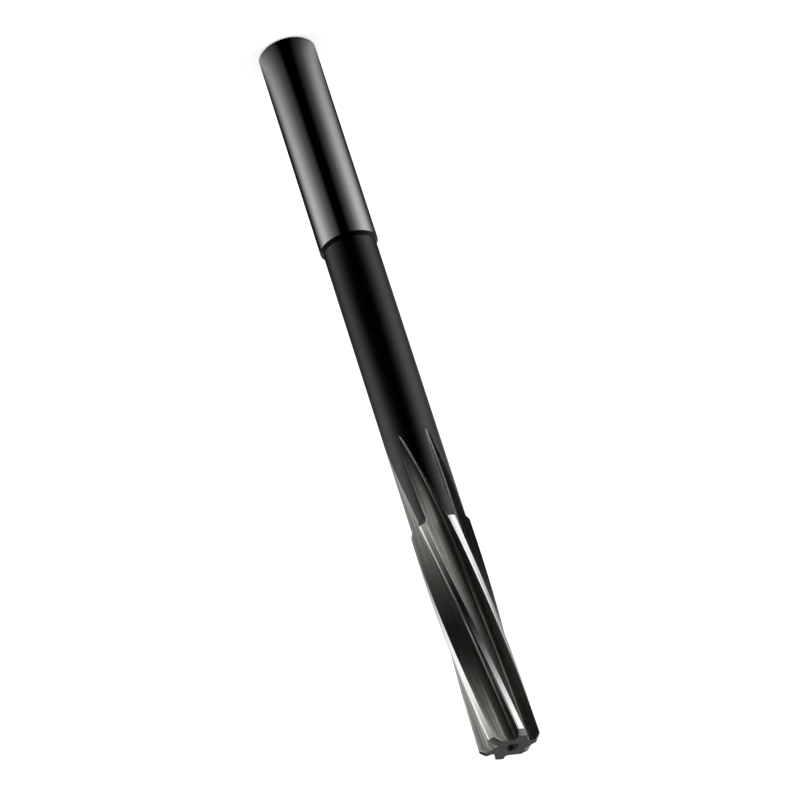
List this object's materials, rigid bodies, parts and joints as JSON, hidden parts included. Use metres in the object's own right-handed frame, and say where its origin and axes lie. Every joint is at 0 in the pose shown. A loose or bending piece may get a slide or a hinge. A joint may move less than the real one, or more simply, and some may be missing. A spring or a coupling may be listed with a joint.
{
  "type": "machine reamer",
  "caption": "Machine reamer with a parallel shank, a relieved neck and left-hand helical flutes, for finishing drilled holes to size.",
  "frame": {"origin": "centre of the shank's end face, on which the tool stands", "axes": "+Z along the tool's axis, from the shank to the cutting end; +X across, close to the first cutting edge at the cutting end"},
  "size_m": [0.01, 0.01, 0.133],
  "materials": {
    "tool_steel": "high-speed steel: mirror-polished shank, blackened neck, bright ground teeth and flutes"
  },
  "bodies": {
    "root": {"reamer": "tool_steel"}
  },
  "joints": []
}
